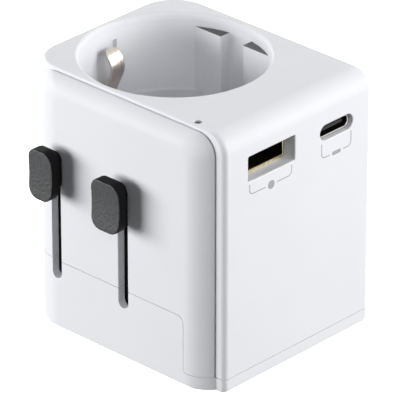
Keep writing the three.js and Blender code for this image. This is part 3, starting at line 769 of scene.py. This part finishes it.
def make_ports(look):
    """The shells and tongues of both charging ports."""
    for node, port, radius, start, end, look_name in (
        ("type_a_shell", PORT_A, 0.4, PORT_JAMB - 0.6, 12.6, "port_gilt"),
        ("type_c_shell", PORT_C, 1.35, 0.9, 8.6, "port_steel"),
    ):
        feet = []
        for i, y in enumerate((-30, -23) if node == "type_a_shell" else (-31, -27)):
            width = port[2] - 1.1
            low = port[1] - port[3] + 0.4
            foot_x = (port[0] - width, port[0] + width)
            foot = block(f"foot {i}", foot_x, (y - 0.6, y + 0.6), (44.9, low), 0.15)
            feet.append(("UNION", foot))
        tube = carve(shell(f"{node}_drawn", port, radius, PORT_SIDE + start, PORT_SIDE + end, 0.3), feet)
        # Faces more than 0.3 mm behind the front edge get the dark finish, which is painted shade; the
        # front edge keeps the metal's own colour.
        for polygon in tube.data.polygons:
            polygon.material_index = 1 if polygon.center.y / MM > PORT_SIDE + start + 0.3 else 0
        finishes = [finish_named(look_name), finish_named("shell_inside_painted_shade")]
        finish(tube, "housing", finishes, [node])
    x, z = PORT_A[:2]
    shape = outline((x - 5.3, x + 5.3), (z + 0.15, z + 1.8), (0.25,) * 4, 4, 1)
    tongue = prism("type_a_tongue_block", shape, "y", PORT_SIDE + 4.0, PORT_SIDE + 9.5)
    finish(tongue, "housing", [finish_named("port_tongue")], ["type_a_tongue"])
    x, z = PORT_C[:2]
    shape = outline((x - 3.3, x + 3.3), (z - 0.35, z + 0.35), (0.2,) * 4, 4, 1)
    tongue = prism("type_c_tongue_block", shape, "y", PORT_SIDE + 1.6, PORT_SIDE + 7)
    finish(tongue, "housing", [finish_named("port_tongue")], ["type_c_tongue"])


# ---------------------------------------------------------------- repeated pieces, by geometry nodes
def node_tree(name, inputs):
    """A geometry node group with named float inputs and one geometry output."""
    tree = bpy.data.node_groups.new(name, "GeometryNodeTree")
    tree.interface.new_socket("Geometry", in_out="INPUT", socket_type="NodeSocketGeometry")
    sockets = {}
    for label, kind in inputs:
        socket = tree.interface.new_socket(label, in_out="INPUT", socket_type=kind)
        sockets[label] = socket.identifier
    tree.interface.new_socket("Geometry", in_out="OUTPUT", socket_type="NodeSocketGeometry")
    return tree, sockets


def baked(name, tree, values, points):
    """Runs a node group on a cloud of points and returns its result as a plain mesh object."""
    seeds = bpy.data.meshes.new(name)
    seeds.from_pydata([[c * MM for c in point] for point in points], [], [])
    obj = bpy.data.objects.new(name, seeds)
    bpy.context.scene.collection.objects.link(obj)
    change = obj.modifiers.new("repeat", "NODES")
    change.node_group = tree
    for identifier, value in values.items():
        change[identifier] = value
    graph = bpy.context.evaluated_depsgraph_get()
    mesh = bpy.data.meshes.new_from_object(obj.evaluated_get(graph))
    obj.modifiers.clear()
    obj.data = mesh
    if not mesh.polygons:
        raise RuntimeError(f"{name} has no faces")
    return obj


def repeat_tree(name, prototype, material):
    """Puts a copy of a prototype at every point, all turned and sized alike."""
    tree, sockets = node_tree(name, (
        ("Piece", "NodeSocketObject"), ("Size", "NodeSocketFloat"), ("Finish", "NodeSocketMaterial"),
    ))
    nodes, link = tree.nodes, tree.links.new
    start = nodes.new("NodeGroupInput")
    piece = nodes.new("GeometryNodeObjectInfo")
    copies = nodes.new("GeometryNodeInstanceOnPoints")
    real = nodes.new("GeometryNodeRealizeInstances")
    paint = nodes.new("GeometryNodeSetMaterial")
    end = nodes.new("NodeGroupOutput")
    link(start.outputs["Piece"], piece.inputs["Object"])
    link(start.outputs["Geometry"], copies.inputs["Points"])
    link(piece.outputs["Geometry"], copies.inputs["Instance"])
    link(start.outputs["Size"], copies.inputs["Scale"])
    link(copies.outputs["Instances"], real.inputs["Geometry"])
    link(real.outputs["Geometry"], paint.inputs["Geometry"])
    link(start.outputs["Finish"], paint.inputs["Material"])
    link(paint.outputs["Geometry"], end.inputs["Geometry"])
    values = {sockets["Piece"]: prototype, sockets["Size"]: 1.0, sockets["Finish"]: material}
    return tree, values


def repeated(name, prototype, points, finish_name):
    """A plain mesh of one prototype repeated at points; the prototype is used up."""
    material = finish_named(finish_name)
    tree, values = repeat_tree(f"{name}_layout", prototype, material)
    obj = baked(name, tree, values, points)
    bpy.data.objects.remove(prototype)
    return obj


def make_screws(look):
    """The four pan-head screws that hold the base."""
    for i, at in enumerate(BOSSES):
        profile = [(0, 0.12), (0.9, 0.14), (1.6, 0.25), (1.95, 0.5), (2.0, 0.75), (1.9, 0.9), (1.0, 0.95)]
        for turn in range(18):
            profile += [(0.82, 1.3 + turn * 0.64), (1.0, 1.5 + turn * 0.64), (1.0, 1.6 + turn * 0.64)]
        profile += [(0.8, 13.1), (0, 13.7)]
        blank = turned("screw", profile, steps=32)
        cross = [
            ("DIFFERENCE", block("recess a", (-1.1, 1.1), (-0.22, 0.22), (-0.5, 0.62))),
            ("DIFFERENCE", block("recess b", (-0.22, 0.22), (-1.1, 1.1), (-0.5, 0.62))),
        ]
        name = f"base_screw_{i + 1}"
        screw = repeated(f"{name}_threaded", carve(blank, cross), [(*at, 0.0)], "steel_fastener")
        finish(screw, "housing", [finish_named("steel_fastener")], [name])


def make_spring(look):
    """The coil spring that returns the shutter."""
    length = SPRING_Y[1] - SPRING_Y[0]
    steps = 120
    rings = []
    for step in range(steps + 1):
        along = step / steps
        angle = along * SPRING_TURNS * 2 * math.pi
        outward = Vector((math.cos(angle), 0, math.sin(angle)))
        centre = Vector((0, SPRING_Y[0] + length * along, SPRING_Z)) + outward * SPRING_RADIUS
        aside = Vector((-math.sin(angle), 0, math.cos(angle))) * SPRING_SWEEP
        forward = (aside + Vector((0, length, 0))).normalized()
        across = forward.cross(outward)
        turns = (2 * math.pi * i / 12 for i in range(12))
        rings.append([
            tuple(centre + (outward * math.cos(a) + across * math.sin(a)) * SPRING_WIRE) for a in turns
        ])
    coil = loft("shutter_spring_coil", rings)
    finish(coil, "housing", [finish_named("spring_wire")], ["shutter_spring"])
    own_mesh(coil)


def make_port_contacts(look):
    """The contacts on both port tongues: gold on the type-A tongue, steel on the type-C tongue."""
    x, z = PORT_A[:2]
    pad = prism("pad", outline((-0.55, 0.55), (-0.09, 0.04), (0.04,) * 4, 3, 0), "y", 0, 5.2)
    places = [(x + offset, PORT_SIDE + 4.15, z + 0.15) for offset in (-3.5, -1.17, 1.17, 3.5)]
    contacts = repeated("type_a_contacts", pad, places, "gold_contact")
    finish(contacts, "housing", [finish_named("gold_contact")])
    x, z = PORT_C[:2]
    pad = prism("pad", outline((-0.13, 0.13), (-0.4, 0.4), (0.04,) * 4, 3, 0), "y", 0, 4.6)
    places = [(x + (i - 5.5) * 0.5, PORT_SIDE + 1.95, z) for i in range(12)]
    contacts = repeated("type_c_contacts", pad, places, "port_steel")
    finish(contacts, "housing", [finish_named("port_steel")])


def stroke(name, points, half):
    """A thin raised line along a path on the port side."""
    path = [Vector(point) for point in points]
    left, right = [], []
    for i, here in enumerate(path):
        before = (here - path[i - 1]).normalized() if i else None
        after = (path[i + 1] - here).normalized() if i + 1 < len(path) else None
        along = ((before or after) + (after or before)).normalized()
        across = Vector((-along.y, along.x))
        reach = half / max(across.dot(Vector((-(after or before).y, (after or before).x))), 0.5)
        left.append(here + across * reach)
        right.append(here - across * reach)
    return prism(name, [tuple(p) for p in left + right[::-1]], "y", PORT_SIDE - 0.015, PORT_SIDE + 0.05)


def bracket(left, right, top, bottom, gap, radius=1.0):
    """The two halves of a line bracket under a port, left open round its mark."""
    halves = []
    for side, edge in ((-1, left), (1, right)):
        inner = edge - side * radius
        path = [(edge, top)]
        path += [
            (inner + side * radius * cosine, bottom + radius - radius * sine)
            for sine, cosine in quarter(6)
        ]
        path.append((gap[0] if side < 0 else gap[1], bottom))
        halves.append(path)
    return halves


def make_marks(look):
    """Printed line brackets under the ports, each with a plain generic mark."""
    strokes = bracket(-13.8, -1.6, 44.2, 42.0, (-9.2, -5.9))
    strokes += bracket(7.2, 15.9, 45.4, 42.2, (9.6, 13.6))
    lines = [stroke(f"line {i}", path, 0.11) for i, path in enumerate(strokes)]
    dot = [(-7.55 + 0.95 * math.cos(a), 42.0 + 0.95 * math.sin(a)) for a in
           (2 * math.pi * i / 32 for i in range(32))]
    lines.append(prism("dot", dot, "y", PORT_SIDE - 0.015, PORT_SIDE + 0.05))
    dash = outline((10.3, 12.9), (41.75, 42.6), (0.42,) * 4, 8, 1)
    lines.append(prism("dash", dash, "y", PORT_SIDE - 0.015, PORT_SIDE + 0.05))
    marks = carve(lines[0], [("UNION", line) for line in lines[1:]])
    marks.name = "port_marks"
    finish(marks, "housing", [finish_named("port_mark")])


# ---------------------------------------------------------------- plug pins
def flat_pin(name, x, y, half, tip, sleeved):
    """A rectangular plug pin with a chamfered tip, and a sleeve over its upper part."""
    def ring(z, inset):
        span_x = (x - half[0] + inset, x + half[0] - inset)
        span_y = (y - half[1] + inset, y + half[1] - inset)
        shape = outline(span_x, span_y, (0.3,) * 4, 4, 1)
        return [(u, v, z) for u, v in shape]

    heights = [(tip, 0.75), (tip + 0.3, 0.45), (tip + 1.2, 0.08), (tip + 1.6, 0.0)]
    if sleeved:
        heights += [(tip + 9.0, 0.0), (tip + 9.05, -0.04)]
    heights += [(PIN_TOP, 0.0)]
    pin = loft(name, [ring(z, inset) for z, inset in heights])
    if sleeved:
        for polygon in pin.data.polygons:
            polygon.material_index = int(polygon.center.z > (tip + 9.02) * MM)
    return pin


def round_pin(name, x):
    """A round plug pin with a domed tip and a sleeved upper half."""
    profile = [(0, 3.8), (0.7, 3.86), (1.3, 4.1), (1.75, 4.6), (1.95, 5.3), (2.0, 6.0)]
    profile += [(2.0, 12.6), (1.9, 12.7), (1.9, 24.0), (2.0, 24.1), (2.0, PIN_TOP), (0, PIN_TOP)]
    pin = turned(name, profile, x, ROUND_PIN_Y, 48)
    for polygon in pin.data.polygons:
        polygon.material_index = int(12.65 * MM < polygon.center.z < 24.05 * MM)
    return pin


def blade(name, y):
    """A flat plug blade with a hole near its tip, on a round pivot boss."""
    tip = 5.3
    shape = [
        (BLADE_X - 3.15, tip + 1.4), (BLADE_X - 2.7, tip + 0.4), (BLADE_X - 1.9, tip),
        (BLADE_X + 1.9, tip), (BLADE_X + 2.7, tip + 0.4), (BLADE_X + 3.15, tip + 1.4),
        (BLADE_X + 3.15, 25.2), (BLADE_X - 3.15, 25.2),
    ]
    plate = prism(name, shape, "y", y - 0.75, y + 0.75)
    hole = [(BLADE_X + 1.55 * math.cos(a), tip + 3.4 + 1.55 * math.sin(a)) for a in
            (2 * math.pi * i / 40 for i in range(40))]
    neck = block("neck", (BLADE_X - 2.4, BLADE_X + 2.4), (y - 0.75, y + 0.75), (25.0, 25.7))
    round_boss = [(0, 25.5), (2.6, 25.5), (2.7, 25.6), (2.7, 28.1), (2.6, PIN_TOP), (0, PIN_TOP)]
    boss = turned("boss", round_boss, BLADE_X, y, 48)
    return carve(plate, [
        ("DIFFERENCE", prism("hole", hole, "y", y - 2, y + 2)),
        ("UNION", neck),
        ("UNION", boss),
    ])


def make_pins(look):
    """Every plug pin and blade."""
    brass, sleeve = finish_named("brass_pin"), finish_named("pin_sleeve")
    for node, side in (("three_pin_line", 1), ("three_pin_neutral", -1)):
        pin = flat_pin(f"{node}_bar", side * THREE_PIN_X, THREE_PIN_Y, (3.2, 2.0), 5.1, True)
        finish(pin, "three_pin_set", [brass, sleeve], [node])
    pin = flat_pin("three_pin_earth_bar", 0.0, EARTH_PIN_Y, (2.0, 4.0), 0.4, False)
    finish(pin, "three_pin_set", [brass], ["three_pin_earth"])
    nickel = finish_named("nickel_pin")
    for node, side in (("round_pin_line", 1), ("round_pin_neutral", -1)):
        pin = round_pin(f"{node}_turned", side * ROUND_PIN_X)
        finish(pin, "round_pin_set", [nickel, sleeve], [node])
    blades = (("blade_line", "line_blade"), ("blade_neutral", "neutral_blade"))
    for (node, body), y in zip(blades, BLADE_YS):
        finish(blade(f"{node}_stamped", y), body, [nickel], [node])


# ---------------------------------------------------------------- finishes of the frame's own pieces
FRAME_FINISHES = {
    "black_moulding": (
        "slot_guide_plate", "contact_block", "three_pin_carrier", "round_pin_carrier", "blade_carrier",
    ),
    "brass_contact": ("line_sleeve", "neutral_sleeve", "line_strip", "neutral_strip"),
    "copper_strap": ("earth_strap",),
    "shutter_plastic": ("shutter_plate",),
    "board_laminate": ("charger_board",),
    "winding_tape": ("transformer",),
    "capacitor_sleeve": ("bulk_capacitor", "output_capacitor"),
    "lens_plastic": ("indicator_lens",),
    "fuse_ceramic": ("cartridge_fuse",),
    "nickel_contact": ("fuse_clip_line", "fuse_clip_load"),
}


def paint_frame(look):
    """Gives every piece that keeps its frame mesh a full finish."""
    for finish_name, nodes in FRAME_FINISHES.items():
        for node in nodes:
            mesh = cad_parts[node].data
            mesh.materials.clear()
            mesh.materials.append(finish_named(finish_name))


# ---------------------------------------------------------------- stage
def softbox(name, direction, size, power):
    """A rectangular area light that faces the middle of the object."""
    data = bpy.data.lights.new(name, "AREA")
    data.shape = "RECTANGLE"
    data.size, data.size_y = size
    data.energy = power
    obj = bpy.data.objects.new(name, data)
    bpy.context.scene.collection.objects.link(obj)
    towards = Vector(direction).normalized()
    obj.location = Vector((0.0, 0.0, 0.03)) + towards * SOFTBOX_DISTANCE
    obj.rotation_euler = towards.to_track_quat("Z", "Y").to_euler()
    return obj


def glowing(name, colour, strength):
    """A pale stage surface that gives off light of its own."""
    material, _, surface, _ = shader(name)
    surface.inputs["Base Color"].default_value = (*colour, 1)
    surface.inputs["Roughness"].default_value = 0.9
    surface.inputs["Emission Color"].default_value = (1, 1, 1, 1)
    surface.inputs["Emission Strength"].default_value = strength
    return material


def stage_piece(name, points, faces, material):
    """One stage surface, which sheds no soft light on the object."""
    mesh = bpy.data.meshes.new(name)
    mesh.from_pydata(points, [], faces)
    mesh.materials.append(material)
    obj = bpy.data.objects.new(name, mesh)
    bpy.context.scene.collection.objects.link(obj)
    obj.visible_diffuse = False
    obj.visible_glossy = False
    return obj


def make_stage(look):
    """Floor, backdrop, soft lights and the camera."""
    corners = ((-1, -1), (1, -1), (1, 1), (-1, 1))
    floor = [(x * FLOOR_REACH, y * FLOOR_REACH, -look.floor_drop) for x, y in corners]
    stage_piece("floor", floor, [(0, 1, 2, 3)], glowing("pale floor", (0.9, 0.9, 0.9), look.floor_glow))
    wall = bmesh.new()
    bmesh.ops.create_icosphere(wall, subdivisions=4, radius=BACKDROP_RADIUS)
    bmesh.ops.reverse_faces(wall, faces=wall.faces)
    mesh = bpy.data.meshes.new("wall")
    wall.to_mesh(mesh)
    wall.free()
    points = [tuple(vertex.co) for vertex in mesh.vertices]
    faces = [tuple(polygon.vertices) for polygon in mesh.polygons]
    backdrop = stage_piece("backdrop", points, faces, glowing("pale wall", (0.0, 0.0, 0.0), 1.05))
    backdrop.visible_shadow = False
    backdrop.visible_glossy = True

    world = bpy.data.worlds.new("studio fill")
    world.use_nodes = True
    world.node_tree.nodes["Background"].inputs["Color"].default_value = (1, 1, 1, 1)
    world.node_tree.nodes["Background"].inputs["Strength"].default_value = look.fill
    bpy.context.scene.world = world

    softbox("left softbox", (-0.80, 0.58, 0.16), (0.56, 0.22), look.left_light)
    softbox("right softbox", (0.58, -0.80, 0.25), (0.34, 0.3), look.right_light)
    softbox("port softbox", (0.05, -1.0, 0.35), (0.34, 0.3), look.port_light)
    softbox("front softbox", (-0.73, -0.69, 0.7), (0.34, 0.3), look.front_light)
    softbox("back softbox", (0.6, 0.6, 0.8), (0.34, 0.3), look.back_light)

    azimuth, elevation = math.radians(CAMERA_AZIMUTH), math.radians(CAMERA_ELEVATION)
    back = Vector((
        math.sin(azimuth) * math.cos(elevation),
        -math.cos(azimuth) * math.cos(elevation),
        math.sin(elevation),
    ))
    right = Vector((math.cos(azimuth), math.sin(azimuth), 0))
    up = back.cross(right)
    aim = Vector((0, -0.005, 0.028)) + right * 0.00138 - up * 0.00211
    data = bpy.data.cameras.new("camera")
    data.sensor_width = 36.0
    data.lens = CAMERA_LENS
    camera = bpy.data.objects.new("camera", data)
    bpy.context.scene.collection.objects.link(camera)
    camera.location = aim + back
    camera.rotation_euler = back.to_track_quat("Z", "Y").to_euler()
    data.clip_start, data.clip_end = 0.05, 20.0
    bpy.context.scene.camera = camera
    bpy.context.scene.view_settings.view_transform = "Standard"


# ---------------------------------------------------------------- add-on
class AdapterLook(bpy.types.PropertyGroup):
    """Sizes, colours and light that a user would change."""

    wall: bpy.props.FloatProperty(
        name="Wall", description="Thickness of the moulded walls",
        default=0.0018, precision=5, unit="LENGTH")
    seam: bpy.props.FloatProperty(
        name="Seam", description="Half the gap at the base seam",
        default=0.00006, precision=6, unit="LENGTH")
    ledge_gap: bpy.props.FloatProperty(
        name="Ledge gap", description="Gap behind the slide cover",
        default=0.0003, precision=6, unit="LENGTH")
    white: bpy.props.FloatVectorProperty(
        name="White", description="Colour of the casing",
        subtype="COLOR", size=3, min=0.0, max=1.0, default=(0.785, 0.793, 0.825))
    white_gloss: bpy.props.FloatProperty(
        name="Casing roughness", description="Roughness of the casing",
        subtype="FACTOR", min=0.0, max=1.0, default=0.58)
    outlet_white: bpy.props.FloatVectorProperty(
        name="Outlet white", description="Colour of the outlet cup",
        subtype="COLOR", size=3, min=0.0, max=1.0, default=(0.80, 0.806, 0.832))
    # Dark grey painted on the rib tops as shade; the ribs themselves are the outlet's white.
    rib_top_painted_shade: bpy.props.FloatVectorProperty(
        name="Rib ends", description="Colour of the rib ends",
        subtype="COLOR", size=3, min=0.0, max=1.0, default=(0.16, 0.16, 0.165))
    # Knob sides and stems: black plastic made darker than the faces, partly as painted shade.
    knob_side_painted_shade: bpy.props.FloatVectorProperty(
        name="Knob sides", description="Colour of the knobs' sides and stems",
        subtype="COLOR", size=3, min=0.0, max=1.0, default=(0.004, 0.004, 0.0045))
    black: bpy.props.FloatVectorProperty(
        name="Knob faces", description="Colour of the knobs' textured faces",
        subtype="COLOR", size=3, min=0.0, max=1.0, default=(0.03, 0.031, 0.033))
    mark: bpy.props.FloatVectorProperty(
        name="Mark grey", description="Colour of the printed marks",
        subtype="COLOR", size=3, min=0.0, max=1.0, default=(0.36, 0.365, 0.38))
    shell: bpy.props.FloatVectorProperty(
        name="Port shell", description="Colour of the type-A shell",
        subtype="COLOR", size=3, min=0.0, max=1.0, default=(0.72, 0.62, 0.40))
    fill: bpy.props.FloatProperty(
        name="Fill", description="Strength of the even fill light", min=0.0, default=0.025)
    left_light: bpy.props.FloatProperty(
        name="Left light", description="Power of the left softbox", min=0.0, unit="POWER", default=4.45)
    right_light: bpy.props.FloatProperty(
        name="Right light", description="Power of the right softbox", min=0.0, unit="POWER", default=3.2)
    port_light: bpy.props.FloatProperty(
        name="Port light", description="Power of the port-side softbox", min=0.0, unit="POWER", default=1.1)
    front_light: bpy.props.FloatProperty(
        name="Front light", description="Power of the front softbox", min=0.0, unit="POWER", default=0.5)
    back_light: bpy.props.FloatProperty(
        name="Back light", description="Power of the rear softbox", min=0.0, unit="POWER", default=1.9)
    floor_glow: bpy.props.FloatProperty(
        name="Floor glow", description="Light given off by the floor", min=0.0, default=1.0)
    floor_drop: bpy.props.FloatProperty(
        name="Floor drop", description="Height left under the base for the pins when they are out",
        min=0.0, default=0.026, precision=4, unit="LENGTH")


class ADAPTER_OT_casing(bpy.types.Operator):
    """Makes the casing with its outlet opening, port cut-outs and rear slot."""

    bl_idname = "adapter.casing"
    bl_label = "Main casing"

    def execute(self, context):
        make_casing(context.scene.adapter)
        return {"FINISHED"}


class ADAPTER_OT_cover(bpy.types.Operator):
    """Makes the cover shell that both slots run through."""

    bl_idname = "adapter.cover"
    bl_label = "Slide cover"

    def execute(self, context):
        make_cover(context.scene.adapter)
        return {"FINISHED"}


class ADAPTER_OT_base(bpy.types.Operator):
    """Makes the stepped base with its pin openings."""

    bl_idname = "adapter.base"
    bl_label = "Base"

    def execute(self, context):
        make_base(context.scene.adapter)
        return {"FINISHED"}


class ADAPTER_OT_cup(bpy.types.Operator):
    """Makes the recessed outlet with its keying ribs and clip pockets."""

    bl_idname = "adapter.cup"
    bl_label = "Outlet cup"

    def execute(self, context):
        make_cup(context.scene.adapter)
        return {"FINISHED"}


class ADAPTER_OT_clips(bpy.types.Operator):
    """Bends the two sprung earth clips from strip."""

    bl_idname = "adapter.clips"
    bl_label = "Earth clips"

    def execute(self, context):
        make_clips(context.scene.adapter)
        return {"FINISHED"}


class ADAPTER_OT_knobs(bpy.types.Operator):
    """Makes the three slide knobs on their stems."""

    bl_idname = "adapter.knobs"
    bl_label = "Slide knobs"

    def execute(self, context):
        make_knobs(context.scene.adapter)
        return {"FINISHED"}


class ADAPTER_OT_ports(bpy.types.Operator):
    """Makes the drawn shells and the tongues of both charging ports."""

    bl_idname = "adapter.ports"
    bl_label = "Charging ports"

    def execute(self, context):
        make_ports(context.scene.adapter)
        return {"FINISHED"}


class ADAPTER_OT_spring(bpy.types.Operator):
    """Winds the coil spring that returns the safety shutter."""

    bl_idname = "adapter.spring"
    bl_label = "Shutter spring"

    def execute(self, context):
        make_spring(context.scene.adapter)
        return {"FINISHED"}


class ADAPTER_OT_contacts(bpy.types.Operator):
    """Repeats the contact fingers along each tongue."""

    bl_idname = "adapter.contacts"
    bl_label = "Port contacts"

    def execute(self, context):
        make_port_contacts(context.scene.adapter)
        return {"FINISHED"}


class ADAPTER_OT_marks(bpy.types.Operator):
    """Makes the thin printed marks round the ports."""

    bl_idname = "adapter.marks"
    bl_label = "Port marks"

    def execute(self, context):
        make_marks(context.scene.adapter)
        return {"FINISHED"}


class ADAPTER_OT_screws(bpy.types.Operator):
    """Repeats one threaded screw at the four bosses."""

    bl_idname = "adapter.screws"
    bl_label = "Base screws"

    def execute(self, context):
        make_screws(context.scene.adapter)
        return {"FINISHED"}


class ADAPTER_OT_pins(bpy.types.Operator):
    """Makes the pins and blades of the three plug sets."""

    bl_idname = "adapter.pins"
    bl_label = "Plug pins"

    def execute(self, context):
        make_pins(context.scene.adapter)
        return {"FINISHED"}


class ADAPTER_OT_finishes(bpy.types.Operator):
    """Gives every piece that keeps its frame mesh a full finish."""

    bl_idname = "adapter.finishes"
    bl_label = "Inner finishes"

    def execute(self, context):
        paint_frame(context.scene.adapter)
        return {"FINISHED"}


class ADAPTER_OT_stage(bpy.types.Operator):
    """Makes the floor, the backdrop, the soft lights and the camera."""

    bl_idname = "adapter.stage"
    bl_label = "Stage"

    def execute(self, context):
        make_stage(context.scene.adapter)
        return {"FINISHED"}


OPERATORS = [
    ADAPTER_OT_casing,
    ADAPTER_OT_cover,
    ADAPTER_OT_base,
    ADAPTER_OT_cup,
    ADAPTER_OT_clips,
    ADAPTER_OT_knobs,
    ADAPTER_OT_ports,
    ADAPTER_OT_spring,
    ADAPTER_OT_contacts,
    ADAPTER_OT_marks,
    ADAPTER_OT_screws,
    ADAPTER_OT_pins,
    ADAPTER_OT_finishes,
    ADAPTER_OT_stage,
]


class ADAPTER_PT_pieces(bpy.types.Panel):
    """Lists the pieces in the 3D view's sidebar."""

    bl_label = "Travel adapter"
    bl_space_type = "VIEW_3D"
    bl_region_type = "UI"
    bl_category = "Adapter"

    def draw(self, context):
        for made in OPERATORS:
            self.layout.operator(made.bl_idname)
        for name in AdapterLook.__annotations__:
            self.layout.prop(context.scene.adapter, name)


CLASSES = [AdapterLook, *OPERATORS, ADAPTER_PT_pieces]


def register():
    for made in CLASSES:
        bpy.utils.register_class(made)
    bpy.types.Scene.adapter = bpy.props.PointerProperty(type=AdapterLook)


def unregister():
    del bpy.types.Scene.adapter
    for made in reversed(CLASSES):
        bpy.utils.unregister_class(made)


def main():
    register()
    for made in OPERATORS:
        getattr(bpy.ops.adapter, made.bl_idname.split(".")[1])()
    bpy.context.view_layer.update()


if __name__ == "__main__":
    main()
